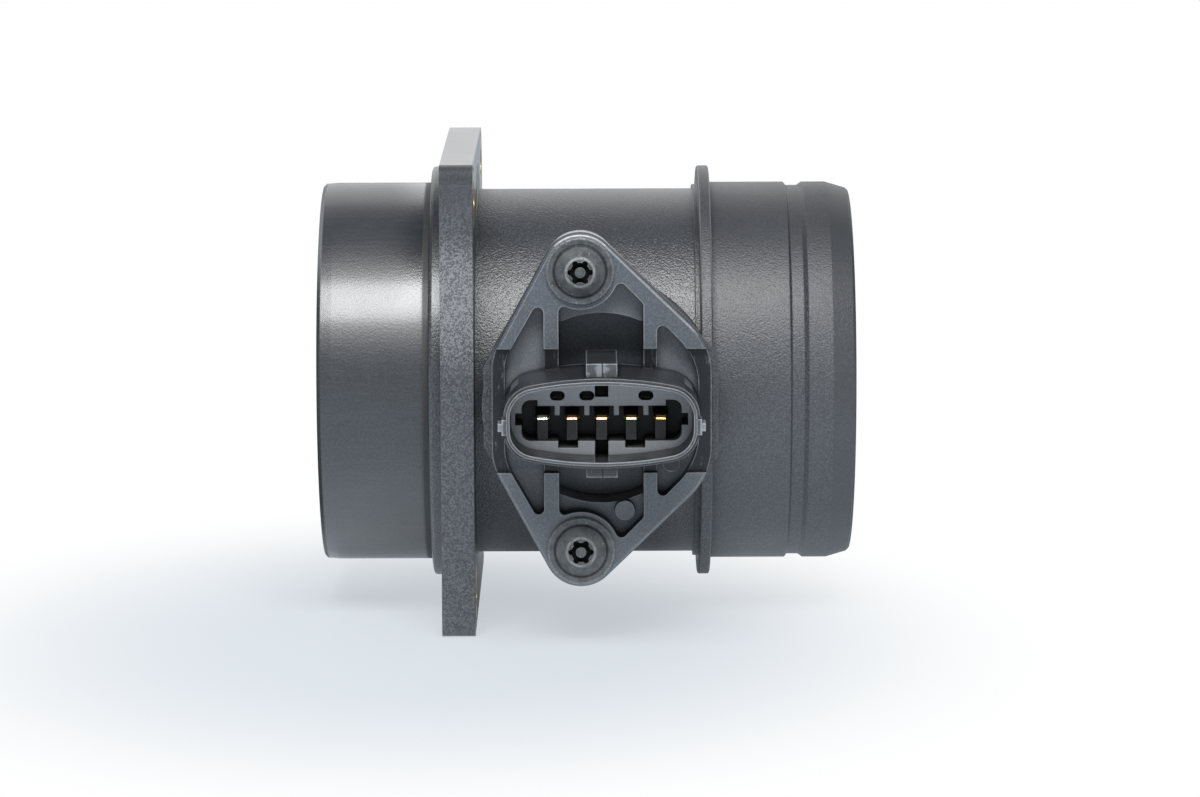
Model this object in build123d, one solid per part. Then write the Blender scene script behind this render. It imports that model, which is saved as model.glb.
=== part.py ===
from build123d import *
from math import cos, radians, sin, sqrt
import os

# Mass airflow sensor: a moulded measuring tube with a square inlet flange, and a plug-in sensor
# with a five-way socket. Millimetres. The origin is where the tube's axis meets the face of the
# flange that seats on the air cleaner. Air flows along +X, the plug-in sensor points to -Y, +Z is up.
# "Reach" is a distance from the tube's axis towards the connector, along -Y.

# Tube, outside: the barrel's radius drives the others
barrel_radius = 38.6
barrel_length = 46.4
spigot_step = 1.4
spigot_length = 25.7
spigot_lead = 3.0
spigot_lead_drop = 0.2
disc_step = 4.8
disc_width = 2.7
flange_margin = 5.0
flange_thickness = 6.8
near_corner_radius = 2.0
far_corner_radius = 12.0
ring_step = 4.85
ring_width = 2.4
ring_collar_step = 0.9
ring_collar_width = 1.0
hose_step = 1.35
hose_length = 29.6
hose_groove_offset = 16.0
hose_groove_width = 3.9
hose_groove_depth = 0.7
hose_chamfer_length = 4.8
hose_chamfer_drop = 1.25
edge_round = 0.5

# Tube, inside
spigot_wall = 3.2
barrel_wall = 3.2
hose_wall = 3.35
outlet_cone_length = 8.0
grid_seat_depth = 20.7

# Flange bolts
bolt_edge_y = 12.4
bolt_edge_z = 7.4
bush_radius = 6.0
bush_bore_radius = 3.3
bush_clearance = 0.05

# Inlet grid, wire screen and the ring that holds them
grid_clearance = 0.1
grid_length = 10.0
grid_rim = 1.7
cell_pitch = 7.4
cell_wall = 0.9
least_cell_room = 1.85
screen_thickness = 0.5
screen_pitch = 6.5
screen_wire = 0.6
least_mesh_room = 1.3
clamp_ring_width = 2.0
clamp_ring_height = 2.2
clamp_ring_gap = 4.0

# Socket boss on the tube
sensor_x = 32.7
pad_rise = 13.7
socket_radius = 21.2
boss_wall = 3.0
pad_thickness = 3.5
pad_left_x = 8.85
pad_left_half_height = 8.1
pad_right_x = 56.4
pad_right_half_height = 10.4
pad_end_radius = 7.2
screw_x = 28.5
screw_z = 28.4
screw_column_radius = 5.0
screw_column_length = 13.0
column_web_inset = 4.0
screw_hole_floor = 2.0

# Sensor flange
sensor_flange_thickness = 6.3
screw_end_radius = 7.5
flange_edge_bevel = 0.5
side_left_x = 10.6
side_left_corner = 12.0
side_left_straight = 8.0
side_right_x = 54.9
side_right_corner = 14.0
side_right_straight = 7.4
pocket_depth = 4.5
pocket_round = 1.15
pocket_end_radius = 4.4
pocket_right_corner = 13.4
pocket_right_straight = 5.0
rim_rib = 2.65
rib_left_x = 21.1
rib_left_width = 3.0
rib_right_x = 41.2
rib_right_width = 2.7
screw_ring_radius = 7.8
band_half_height = 12.6
band_depth = 1.5
well_radius = 19.4
well_depth = 14.0
ejector_marks = ((4.7, -20.8, 2.0), (14.1, -11.1, 1.8))
ejector_height = 1.6

# Connector socket
shroud_height = 17.4
shroud_half_width = 19.5
shroud_half_height = 9.0
shroud_end_radius = 6.5
shroud_end_straight = 1.24
shroud_wall = 1.25
rim_lip_height = 0.8
rim_lip_inset = 0.55
ledge_depth = 9.5
window_half_width = 16.0
window_top_z = 3.5
window_bottom_z = -4.8
window_depth = 8.0
window_round = 1.8
side_key_depth = 1.3
side_key_height = 2.4
side_key_z = -0.4
lower_key_x = 6.7
lower_key_width = 4.0
lower_key_depth = 1.4
top_rail_width = 6.2
top_rail_height = 2.8
bottom_rail_height = 2.0
rail_setback = 2.0
key_slot_width = 2.7
key_groove_depth = 0.6
comb_half_width = 12.8
comb_depth = 3.0
comb_drop = 1.2
comb_rise = 0.6
tooth_width = 1.0
tooth_length = 1.9
core_hole_steps = (-1.5, -0.5, 1.5)
core_hole_width = 3.0
core_hole_height = 1.9
core_hole_rise = 0.85
core_hole_depth = 6.0
pin_rest_width = 2.1
pin_rest_drop = 1.5
nib_top_z = 0.9
nib_bottom_z = -2.3
nib_length = 4.8
nib_setback = 0.2
nib_base_width = 0.35
nib_peak_width = 1.1

# Terminals
terminal_count = 5
terminal_pitch = 5.9
terminal_width = 2.9
terminal_thickness = 0.8
terminal_z = 0.5
terminal_tip_depth = 6.0
terminal_point_inset = 0.5
terminal_point_length = 1.5
tail_pitch = 3.4
tail_width = 1.6
fan_start_drop = 2.3
fan_length = 6.0
tail_gap = 2.6

# Plug-in neck and measuring arm
neck_clearance = 0.2
seal_groove_drop = 11.3
seal_groove_width = 2.6
seal_groove_depth = 1.4
seal_gap = 0.04
arm_half_width = 13.0
arm_half_thickness = 6.3
arm_nose_length = 3.6
arm_tail_length = 2.6
arm_tip_reach = -10.6
arm_tip_round = 1.0
lid_thickness = 1.2
lid_clearance = 0.05
lid_margin = 1.4
lid_edge = 0.2
chamber_top_gap = 2.4
chamber_bottom_reach = 12.5
chamber_floor_z = -1.2
channel_top_reach = 9.6
channel_bottom_reach = -8.2
channel_width = 5.0
channel_floor_z = -2.6
divider_half_width = 1.0
carrier_thickness = 1.0
carrier_gap = 1.0
board_thickness = 0.8
board_margin = 0.8
cell_width = 3.2
cell_thickness = 0.5
cell_reach = -1.6
cell_setback = 0.6
cell_side_margin = 0.3

# Security screws
washer_radius = 6.85
washer_thickness = 1.0
washer_bevel = 0.3
dome_radius = 5.35
dome_height = 1.9
shank_radius = 2.4
shank_length = 17.0
shank_point = 0.6
shank_clearance = 0.3
thread_clearance = 0.05
lobe_circle_radius = 1.95
lobe_radius = 0.62
lobe_core_radius = 2.0
drive_depth = 2.4
lobe_count = 6
drive_pin_radius = 1.05

# Sizes and places that follow from the sizes above
spigot_radius = barrel_radius + spigot_step
disc_radius = barrel_radius + disc_step
ring_radius = barrel_radius + ring_step
ring_collar_radius = barrel_radius + ring_collar_step
hose_radius = barrel_radius + hose_step
inlet_bore_radius = spigot_radius - spigot_wall
measuring_bore_radius = barrel_radius - barrel_wall
outlet_bore_radius = hose_radius - hose_wall
boss_radius = socket_radius + boss_wall
pad_reach = barrel_radius + pad_rise
flange_half = disc_radius + flange_margin
bolt_y = flange_half - bolt_edge_y
bolt_z = flange_half - bolt_edge_z
ring_x = flange_thickness + barrel_length
hose_x = ring_x + ring_width
tube_end_x = hose_x + hose_length
grid_seat_x = -spigot_length + grid_seat_depth
rib_reach = pad_reach + sensor_flange_thickness
floor_reach = rib_reach - pocket_depth
band_reach = rib_reach - band_depth
rim_reach = rib_reach + shroud_height
ledge_reach = rim_reach - ledge_depth
neck_radius = socket_radius - neck_clearance
seal_groove_reach = pad_reach - seal_groove_drop
fan_start_reach = pad_reach - fan_start_drop
chamber_top_reach = measuring_bore_radius - chamber_top_gap
tail_end_reach = chamber_top_reach - tail_gap
mid_z = (window_top_z + window_bottom_z) / 2


def facing_out(reach, x=0.0, z=0.0):
    """Plane at a reach: its x is +X, its y is +Z, and it faces the connector side."""
    return Plane(origin=(x, -reach, z), x_dir=(1, 0, 0), z_dir=(0, -1, 0))


def outward(sketch, start, end):
    """Prism of a sketch drawn in X and Z, from one reach out to a greater one."""
    return extrude(facing_out(start) * sketch, amount=end - start)


def block(x_start, x_end, reach_start, reach_end, z_start, z_end):
    """Box given by its limits along X, along the reach and along Z."""
    middle = ((x_start + x_end) / 2, -(reach_start + reach_end) / 2, (z_start + z_end) / 2)
    return Pos(*middle) * Box(x_end - x_start, reach_end - reach_start, z_end - z_start)


def turned(points):
    """Solid of revolution about the tube's axis from (x, radius) points."""
    profile = make_face(Polyline(*points, close=True))
    return revolve(profile, axis=Axis.X)


def tube_shell():
    """Outside of the tube: spigot, disc, barrel, ring flange and grooved hose spigot."""
    groove = hose_x + hose_groove_offset
    floor = hose_radius - hose_groove_depth
    return turned([
        (-spigot_length, 0),
        (-spigot_length, spigot_radius - spigot_lead_drop - edge_round),
        (-spigot_length + edge_round, spigot_radius - spigot_lead_drop),
        (-spigot_length + spigot_lead, spigot_radius),
        (-disc_width, spigot_radius),
        (-disc_width, disc_radius - 1.5 * edge_round),
        (-disc_width + 0.4 * edge_round, disc_radius - 0.4 * edge_round),
        (-disc_width + 1.5 * edge_round, disc_radius),
        (flange_thickness / 2, disc_radius),
        (flange_thickness / 2, barrel_radius),
        (ring_x - ring_collar_width, barrel_radius),
        (ring_x - ring_collar_width, ring_collar_radius),
        (ring_x, ring_collar_radius),
        (ring_x, ring_radius - edge_round / 2),
        (ring_x + edge_round / 2, ring_radius),
        (hose_x - edge_round / 2, ring_radius),
        (hose_x, ring_radius - edge_round / 2),
        (hose_x, hose_radius),
        (groove, hose_radius),
        (groove + edge_round, floor),
        (groove + hose_groove_width - 2 * edge_round, floor),
        (groove + hose_groove_width, hose_radius),
        (tube_end_x - hose_chamfer_length, hose_radius),
        (tube_end_x - edge_round, hose_radius - hose_chamfer_drop),
        (tube_end_x, hose_radius - hose_chamfer_drop - edge_round),
        (tube_end_x, 0),
    ])


def duct():
    """Air passage: inlet bore down to the grid's seat, measuring bore, then the wider outlet."""
    return turned([
        (-spigot_length - 1, 0),
        (-spigot_length - 1, inlet_bore_radius),
        (grid_seat_x, inlet_bore_radius),
        (grid_seat_x, measuring_bore_radius),
        (hose_x, measuring_bore_radius),
        (hose_x + outlet_cone_length, outlet_bore_radius),
        (tube_end_x + 1, outlet_bore_radius),
        (tube_end_x + 1, 0),
    ])


def bolt_places():
    """Centres of the four flange bolts in Y and Z."""
    return [(y * bolt_y, z * bolt_z) for y in (-1, 1) for z in (-1, 1)]


def mounting_flange():
    """Square inlet flange; the two corners away from the connector are rounded off more."""
    plate = Pos(flange_thickness / 2, 0, 0) * Box(flange_thickness, 2 * flange_half, 2 * flange_half)
    corners = plate.edges().filter_by(Axis.X)
    plate = fillet(corners.filter_by(lambda edge: edge.center().Y < 0), near_corner_radius)
    corners = plate.edges().filter_by(Axis.X).filter_by(lambda edge: edge.center().Y > flange_half - 1)
    corners = [edge for edge in corners if abs(edge.center().Z) > flange_half - 1]
    plate = fillet(corners, far_corner_radius)
    for y, z in bolt_places():
        hole = Cylinder(bush_radius + bush_clearance, 3 * flange_thickness, rotation=(0, 90, 0))
        plate -= Pos(flange_thickness / 2, y, z) * hole
    return plate


def screw_column(side):
    """Boss for a security screw, with a sloped foot that runs into the socket boss."""
    top = outward(Pos(screw_x, side * screw_z) * Circle(screw_column_radius),
                  pad_reach - screw_column_length, pad_reach)
    web = make_face(Polyline(
        (-pad_reach, side * screw_z),
        (-pad_reach, side * (boss_radius - column_web_inset)),
        (-pad_reach + 2 * screw_column_length, side * (boss_radius - column_web_inset)),
        (-pad_reach + screw_column_length, side * screw_z),
        close=True))
    middle = Plane(origin=(screw_x - screw_column_radius, 0, 0), x_dir=(0, 1, 0), z_dir=(1, 0, 0))
    return top + extrude(middle * web, amount=2 * screw_column_radius)


def pad_outline():
    """Outline of the pad that the sensor's flange seats on."""
    edges = []
    for side in (-1, 1):
        edges += (Pos(screw_x, side * screw_z) * Circle(pad_end_radius)).edges()
    edges += [
        Line((pad_left_x, -pad_left_half_height), (pad_left_x, pad_left_half_height)),
        Line((pad_right_x, -pad_right_half_height), (pad_right_x, pad_right_half_height)),
    ]
    return make_hull(edges)


def socket_boss():
    """Round boss that the sensor plugs into, cut flat at the ring, with the pad on its top."""
    limits = Pos(hose_x / 2, 0) * Rectangle(hose_x, 2 * boss_radius)
    outline = (Pos(sensor_x, 0) * Circle(boss_radius)) & limits
    boss = outward(outline, barrel_radius / 2, pad_reach)
    boss += outward(pad_outline(), pad_reach - pad_thickness, pad_reach)
    for side in (-1, 1):
        boss += screw_column(side)
    return boss


def tube_housing():
    """Moulded tube with its inlet flange, socket boss and screw holes."""
    tube = tube_shell() + mounting_flange() + socket_boss()
    tube -= duct()
    tube -= outward(Pos(sensor_x, 0) * Circle(socket_radius), measuring_bore_radius / 2, pad_reach + 1)
    thread = Circle(shank_radius + thread_clearance)
    for side in (-1, 1):
        tube -= outward(Pos(screw_x, side * screw_z) * thread,
                        pad_reach - screw_column_length + screw_hole_floor, pad_reach + 1)
    return tube


def flange_bush(y, z):
    """Brass bush that takes the load of a flange bolt."""
    bush = Cylinder(bush_radius, flange_thickness, rotation=(0, 90, 0))
    bush = chamfer(bush.edges().filter_by(GeomType.CIRCLE), edge_round)
    bush -= Cylinder(bush_bore_radius, 2 * flange_thickness, rotation=(0, 90, 0))
    return Pos(flange_thickness / 2, y, z) * bush


def across(sketch, start, end):
    """Prism of a sketch drawn in Y and Z, from one X to a greater one."""
    plane = Plane(origin=(start, 0, 0), x_dir=(0, 1, 0), z_dir=(1, 0, 0))
    return extrude(plane * sketch, amount=end - start)


def flow_grid():
    """Honeycomb that straightens the air, moulded in one piece with its rim."""
    outer = inlet_bore_radius - grid_clearance
    inner = outer - grid_rim
    across_flats = cell_pitch - cell_wall
    row_pitch = cell_pitch * sqrt(3) / 2
    rows = int(inner // row_pitch)
    cells = Sketch()
    for row in range(-rows, rows + 1):
        shift = cell_pitch / 2 if row % 2 else 0.0
        for column in range(-rows - 1, rows + 2):
            y, z = column * cell_pitch + shift, row * row_pitch
            if sqrt(y * y + z * z) < inner - least_cell_room:
                cells += Pos(y, z) * RegularPolygon(across_flats / 2, 6, major_radius=False, rotation=90)
    plate = Circle(outer) - (cells & Circle(inner))
    return across(plate, grid_seat_x - grid_length, grid_seat_x)


def wire_screen():
    """Wire screen in front of the honeycomb, with its flat rim."""
    outer = inlet_bore_radius - grid_clearance
    inner = outer - grid_rim
    count = int(inner // screen_pitch) + 1
    gap = screen_pitch - screen_wire
    holes = Sketch()
    for row in range(-count, count + 1):
        for column in range(-count, count + 1):
            y, z = (column + 0.5) * screen_pitch, (row + 0.5) * screen_pitch
            if sqrt(y * y + z * z) < inner - least_mesh_room:
                holes += Pos(y, z) * Rectangle(gap, gap)
    plate = Circle(outer) - (holes & Circle(inner))
    end = grid_seat_x - grid_length
    return across(plate, end - screen_thickness, end)


def clamp_ring():
    """Open spring ring that holds the screen and the honeycomb in the inlet bore."""
    outer = inlet_bore_radius - grid_clearance
    band = Circle(outer) - Circle(outer - clamp_ring_height)
    band -= Pos(0, outer) * Rectangle(clamp_ring_gap, 4 * clamp_ring_height)
    end = grid_seat_x - grid_length - screen_thickness
    return across(band, end - clamp_ring_width, end)


def hull_of(circles):
    """Outline stretched round circles given by X, Z and radius, and round their mirror images."""
    edges = []
    for x, z, radius in circles:
        for side in (-1, 1):
            edges += (Pos(x, side * z) * Circle(radius)).edges()
    return make_hull(edges)


def sensor_outline():
    """Six-sided outline of the sensor flange: round ends at the screws and rounded sides."""
    return hull_of([
        (screw_x, screw_z, screw_end_radius),
        (side_left_x + side_left_corner, side_left_straight, side_left_corner),
        (side_right_x - side_right_corner, side_right_straight, side_right_corner),
    ])


def flange_pockets():
    """Pockets between the ribs of the sensor flange, as one sketch in X and Z."""
    left_corner = side_left_corner - rim_rib
    inside = hull_of([
        (screw_x, screw_z, pocket_end_radius),
        (side_left_x + side_left_corner, side_left_straight, left_corner),
        (side_right_x - rim_rib - pocket_right_corner, pocket_right_straight, pocket_right_corner),
    ])
    for side in (-1, 1):
        inside -= Pos(screw_x, side * screw_z) * Circle(screw_ring_radius)
    half = screw_z
    left_room = rib_left_x - side_left_x
    middle_start = rib_left_x + rib_left_width
    right_start = rib_right_x + rib_right_width
    columns = (
        (rib_left_x - left_room / 2, left_room),
        ((middle_start + rib_right_x) / 2, rib_right_x - middle_start),
        ((right_start + side_right_x) / 2, side_right_x - right_start),
    )
    pockets = Sketch()
    for middle, width in columns:
        pockets += inside & (Pos(middle, 0) * Rectangle(width, 2 * half))
    eroded = offset(pockets, amount=-pocket_round, kind=Kind.INTERSECTION)
    return offset(eroded, amount=pocket_round, kind=Kind.ARC)


def shroud_outline(inset=0.0):
    """Outline of the connector socket: bowed long sides that run smoothly into round corners."""
    corner_x = shroud_half_width - shroud_end_radius
    corner_z = shroud_end_straight
    radius = shroud_end_radius - inset
    x = shroud_half_width - inset
    z = shroud_half_height - inset
    rise = z - corner_z
    bow = (corner_x ** 2 + rise ** 2 - radius ** 2) / (2 * (rise - radius))
    join_x = bow * corner_x / (bow - radius)
    join_z = z - bow + bow * (bow - rise) / (bow - radius)
    slant = radians(40)
    slant_x = corner_x + radius * cos(slant)
    slant_z = corner_z + radius * sin(slant)
    edges = []
    for side in (-1, 1):
        edges += [
            ThreePointArc((-join_x, side * join_z), (0, side * z), (join_x, side * join_z)),
            ThreePointArc((join_x, side * join_z), (slant_x, side * slant_z), (x, side * corner_z)),
            ThreePointArc((-join_x, side * join_z), (-slant_x, side * slant_z), (-x, side * corner_z)),
            Line((side * x, -corner_z), (side * x, corner_z)),
        ]
    return Pos(sensor_x, 0) * make_face(edges)


def pin_window():
    """Deep window of the socket, with its keyways, drawn in X and Z."""
    height = window_top_z - window_bottom_z
    window = RectangleRounded(2 * window_half_width, height, window_round)
    window = Pos(sensor_x, mid_z) * window
    side_key = Rectangle(2 * side_key_depth, side_key_height)
    lower_key = Rectangle(lower_key_width, 2 * lower_key_depth)
    for side in (-1, 1):
        window += Pos(sensor_x + side * window_half_width, side_key_z) * side_key
        window += Pos(sensor_x + side * lower_key_x, window_bottom_z) * lower_key
    height = 2 * (shroud_half_height - shroud_wall)
    return window + Pos(sensor_x, 0) * Rectangle(key_slot_width, height)


def pin_comb():
    """Bar above the pins with a short tooth between each two pins."""
    bottom = window_top_z - comb_drop
    back = ledge_reach - comb_depth
    comb = block(sensor_x - comb_half_width, sensor_x + comb_half_width, back, ledge_reach,
                 bottom, window_top_z + comb_rise)
    for step in terminal_places()[:-1]:
        x = sensor_x + (step + 0.5) * terminal_pitch
        comb += block(x - tooth_width / 2, x + tooth_width / 2, back, ledge_reach,
                      bottom - tooth_length, window_top_z)
    return comb


def comb_holes():
    """Three oval core holes above the pins."""
    holes = Sketch()
    for step in core_hole_steps:
        hole = SlotOverall(core_hole_width, core_hole_height)
        holes += Pos(sensor_x + step * terminal_pitch, window_top_z + core_hole_rise) * hole
    return outward(holes, ledge_reach - core_hole_depth, ledge_reach + 0.1)


def terminal_places():
    """Steps of the terminals from the middle one."""
    middle = (terminal_count - 1) / 2
    return [number - middle for number in range(terminal_count)]


def terminal(step):
    """Flat stamped terminal: wide blade in the socket, narrow tail in the electronics chamber."""
    tip = rim_reach - terminal_tip_depth
    x = sensor_x + step * terminal_pitch
    tail = sensor_x + step * tail_pitch
    fan_end = fan_start_reach - fan_length
    wide, narrow = terminal_width / 2, tail_width / 2
    point = wide - terminal_point_inset
    shoulder = tip - terminal_point_length
    outline = make_face(Polyline(
        (x - point, tip),
        (x + point, tip),
        (x + wide, shoulder),
        (x + wide, fan_start_reach),
        (tail + narrow, fan_end),
        (tail + narrow, tail_end_reach),
        (tail - narrow, tail_end_reach),
        (tail - narrow, fan_end),
        (x - wide, fan_start_reach),
        (x - wide, shoulder),
        close=True))
    flat = Plane(origin=(0, 0, terminal_z), x_dir=(1, 0, 0), z_dir=(0, 0, -1))
    return extrude(flat * outline, amount=terminal_thickness / 2, both=True)


def connector_socket():
    """Connector socket: bowed shroud with a stepped rim, ledge, pin window, rails and nibs."""
    outline = shroud_outline()
    socket = outward(outline, floor_reach - 1, rim_reach - rim_lip_height)
    socket += outward(shroud_outline(rim_lip_inset), rim_reach - rim_lip_height - 0.1, rim_reach)
    half_rail = top_rail_width / 2
    rail_end = rim_reach - rail_setback
    socket += block(sensor_x - half_rail, sensor_x + half_rail, floor_reach, rail_end,
                    shroud_half_height - 1, shroud_half_height + top_rail_height)
    socket += block(sensor_x - half_rail, sensor_x + half_rail, floor_reach, rail_end,
                    -shroud_half_height - bottom_rail_height, -shroud_half_height + 1)
    nib_z = (nib_top_z + nib_bottom_z) / 2
    nib_height = nib_top_z - nib_bottom_z
    nibs = Pos(sensor_x, nib_z) * Rectangle(2 * (shroud_half_width + nib_base_width), nib_height)
    nibs += Pos(sensor_x, nib_z) * Rectangle(2 * (shroud_half_width + nib_peak_width), nib_height / 2)
    socket += outward(nibs, rim_reach - nib_length, rim_reach - nib_setback)
    socket -= outward(shroud_outline(shroud_wall), ledge_reach, rim_reach + 1)
    socket -= outward(pin_window(), ledge_reach - window_depth, ledge_reach + 1)
    groove_height = 2 * (shroud_half_height - shroud_wall + key_groove_depth)
    groove = Pos(sensor_x, -groove_height / 4) * Rectangle(key_slot_width, groove_height / 2)
    socket -= outward(groove, ledge_reach - window_depth, rim_reach - rim_lip_height)
    socket += pin_comb() & outward(outline, floor_reach, rim_reach)
    socket -= comb_holes()
    half_rest = pin_rest_width / 2
    for step in terminal_places():
        x = sensor_x + step * terminal_pitch
        socket += block(x - half_rest, x + half_rest, ledge_reach - window_depth,
                        ledge_reach - pin_rest_drop, window_bottom_z, terminal_z - terminal_thickness / 2)
    return socket


def arm_outline():
    """Section of the measuring arm: round leading edge, tapered trailing edge."""
    front = sensor_x - arm_half_width
    back = sensor_x + arm_half_width
    thick = arm_half_thickness
    flat_start = front + arm_nose_length
    flat_end = back - arm_tail_length
    nose = ThreePointArc((flat_start, -thick), (front, 0), (flat_start, thick))
    top = Line((flat_start, thick), (flat_end, thick))
    upper_tail = Line((flat_end, thick), (back, thick / 2))
    end = Line((back, thick / 2), (back, -thick / 2))
    lower_tail = Line((back, -thick / 2), (flat_end, -thick))
    bottom = Line((flat_end, -thick), (flat_start, -thick))
    return make_face([nose, top, upper_tail, end, lower_tail, bottom])


def chamber_limits():
    """Limits in X of the two pockets in the arm's flat side."""
    front = sensor_x - arm_half_width + arm_nose_length + lid_margin + lid_edge
    back = sensor_x + arm_half_width - arm_tail_length - lid_margin - lid_edge
    return front, back


def lid(top_reach, bottom_reach, clearance=0.0):
    """Flat lid let into the arm's upper side; the rebate is the same lid without clearance."""
    front, back = chamber_limits()
    margin = lid_margin - clearance
    upper = arm_half_thickness + (0.0 if clearance else 1.0)
    lower = arm_half_thickness - lid_thickness
    return block(front - margin, back + margin, bottom_reach - margin, top_reach + margin, lower, upper)


def bypass_channel():
    """Air channel in the arm's tip: in at the nose, round the divider and out at the lower side."""
    front, back = chamber_limits()
    top = arm_half_thickness
    channel = block(front, back, channel_bottom_reach, channel_top_reach, channel_floor_z, top)
    middle = sensor_x
    divider = block(middle - divider_half_width, middle + divider_half_width,
                    channel_bottom_reach, channel_top_reach - channel_width,
                    channel_floor_z - 1, top - lid_thickness)
    channel -= divider
    channel += block(sensor_x - arm_half_width - 1, front + 1, channel_bottom_reach,
                     channel_bottom_reach + channel_width, channel_floor_z, top - lid_thickness - 1)
    channel += block(back - channel_width, back, channel_bottom_reach,
                     channel_bottom_reach + 2 * channel_width, -arm_half_thickness - 1, channel_floor_z + 1)
    return channel


def electronics_pocket():
    """Chamber for the carrier and the board, with the slot for the measuring cell."""
    front, back = chamber_limits()
    pocket = block(front, back, chamber_bottom_reach, chamber_top_reach, chamber_floor_z,
                   arm_half_thickness)
    half = cell_width / 2 + lid_clearance
    slot_x = front + channel_width / 2
    pocket += block(slot_x - half, slot_x + half, channel_top_reach - 1, chamber_bottom_reach + 1,
                    chamber_floor_z, arm_half_thickness)
    return pocket


def plug_neck():
    """Round neck that fills the tube's socket, with its lower end shaped to the duct's wall."""
    neck = outward(Pos(sensor_x, 0) * Circle(neck_radius), measuring_bore_radius / 2, floor_reach)
    neck -= Cylinder(measuring_bore_radius, 4 * spigot_radius, rotation=(0, 90, 0))
    groove = Circle(neck_radius + 1) - Circle(neck_radius - seal_groove_depth)
    neck -= outward(Pos(sensor_x, 0) * groove, seal_groove_reach - seal_groove_width / 2,
                    seal_groove_reach + seal_groove_width / 2)
    return neck


def seal_ring():
    """O-ring squeezed between the neck's groove and the tube's socket."""
    room = socket_radius - neck_radius + seal_groove_depth
    across_ring = room - 2 * seal_gap
    middle = socket_radius - room / 2
    section = Rectangle(across_ring, seal_groove_width - 2 * seal_gap)
    section = Pos(middle, 0) * chamfer(section.vertices(), 0.3 * across_ring)
    ring = revolve(Plane.XZ * section, axis=Axis.Z)
    return Pos(sensor_x, -seal_groove_reach, 0) * Rot(90, 0, 0) * ring


def sensor_body():
    """Plug-in sensor moulded in one piece: ribbed flange, connector socket, neck and arm."""
    body = outward(sensor_outline(), pad_reach, rib_reach)
    body = chamfer(body.faces().sort_by(Axis.Y)[0].edges(), flange_edge_bevel)
    body -= outward(flange_pockets(), floor_reach, rib_reach + 1)
    ejectors = Sketch()
    for x, z, radius in ejector_marks:
        ejectors += Pos(sensor_x + x, z) * Circle(radius)
    body += outward(ejectors, floor_reach - 1, floor_reach + ejector_height)
    body -= block(side_left_x - 1, side_right_x + 1, band_reach, rib_reach + 1,
                  -band_half_height, band_half_height)
    body += plug_neck()
    middle = (rib_left_x + rib_left_width + rib_right_x) / 2
    room = rib_right_x - rib_left_x - rib_left_width
    well = (Pos(sensor_x, 0) * Circle(well_radius)) & (Pos(middle, 0) * Rectangle(room, 2 * boss_radius))
    well -= shroud_outline(shroud_wall)
    body -= outward(well, rib_reach - well_depth, rib_reach + 1)
    body += connector_socket()
    arm = outward(arm_outline(), arm_tip_reach, measuring_bore_radius + 1)
    arm = fillet(arm.faces().sort_by(Axis.Y)[-1].edges(), arm_tip_round)
    body += arm
    for top_reach, bottom_reach in ((chamber_top_reach, chamber_bottom_reach),
                                    (channel_top_reach, channel_bottom_reach)):
        body -= lid(top_reach, bottom_reach)
    body -= electronics_pocket()
    body -= bypass_channel()
    for side in (-1, 1):
        body -= outward(Pos(screw_x, side * screw_z) * Circle(shank_radius + shank_clearance),
                        pad_reach - 1, rib_reach + 1)
    for step in terminal_places():
        body -= terminal(step)
    return body


def carrier_plate():
    """Metal plate on the chamber's floor, with the tongue that carries the measuring cell."""
    front, back = chamber_limits()
    gap = lid_clearance
    top = tail_end_reach - carrier_gap
    plate = block(front + gap, back - gap, chamber_bottom_reach + gap, top,
                  chamber_floor_z, chamber_floor_z + carrier_thickness)
    slot_x = front + channel_width / 2
    half = cell_width / 2
    tongue = block(slot_x - half, slot_x + half, cell_reach, chamber_bottom_reach + 1,
                   chamber_floor_z, chamber_floor_z + carrier_thickness)
    return plate + tongue


def circuit_board():
    """Ceramic circuit board on the carrier plate."""
    front, back = chamber_limits()
    base = chamber_floor_z + carrier_thickness
    return block(front + board_margin, back - board_margin, chamber_bottom_reach + board_margin,
                 tail_end_reach - carrier_gap - board_margin, base, base + board_thickness)


def measuring_cell():
    """Hot-film chip on the end of the carrier's tongue, in the bypass channel."""
    front, back = chamber_limits()
    slot_x = front + channel_width / 2
    half = cell_width / 2 - cell_side_margin
    base = chamber_floor_z + carrier_thickness
    start = cell_reach + cell_setback
    return block(slot_x - half, slot_x + half, start, start + 2 * cell_width, base, base + cell_thickness)


def security_screw(side):
    """Flanged pan-head screw with a six-lobe drive and a centre pin."""
    washer = Cylinder(washer_radius, washer_thickness, align=(Align.CENTER, Align.CENTER, Align.MIN))
    washer = chamfer(washer.edges().sort_by(Axis.Z)[-1], washer_bevel)
    dome_sphere = (dome_radius ** 2 + dome_height ** 2) / (2 * dome_height)
    dome = Pos(0, 0, washer_thickness + dome_height - dome_sphere) * Sphere(dome_sphere)
    dome &= Pos(0, 0, washer_thickness) * Cylinder(
        dome_radius, dome_height, align=(Align.CENTER, Align.CENTER, Align.MIN))
    drive = Circle(lobe_core_radius)
    for turn in range(lobe_count):
        angle = radians(360 / lobe_count * turn)
        lobe = Pos(lobe_circle_radius * cos(angle), lobe_circle_radius * sin(angle))
        drive += lobe * Circle(lobe_radius)
    drive -= Circle(drive_pin_radius)
    top = washer_thickness + dome_height
    head = washer + dome
    head -= extrude(Pos(0, 0, top - drive_depth) * drive, amount=2 * drive_depth)
    shank = Pos(0, 0, -shank_length) * Cylinder(
        shank_radius, shank_length, align=(Align.CENTER, Align.CENTER, Align.MIN))
    shank = chamfer(shank.edges().sort_by(Axis.Z)[0], shank_point)
    return Pos(screw_x, -rib_reach, side * screw_z) * Rot(90, 0, 0) * (head + shank)


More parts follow.
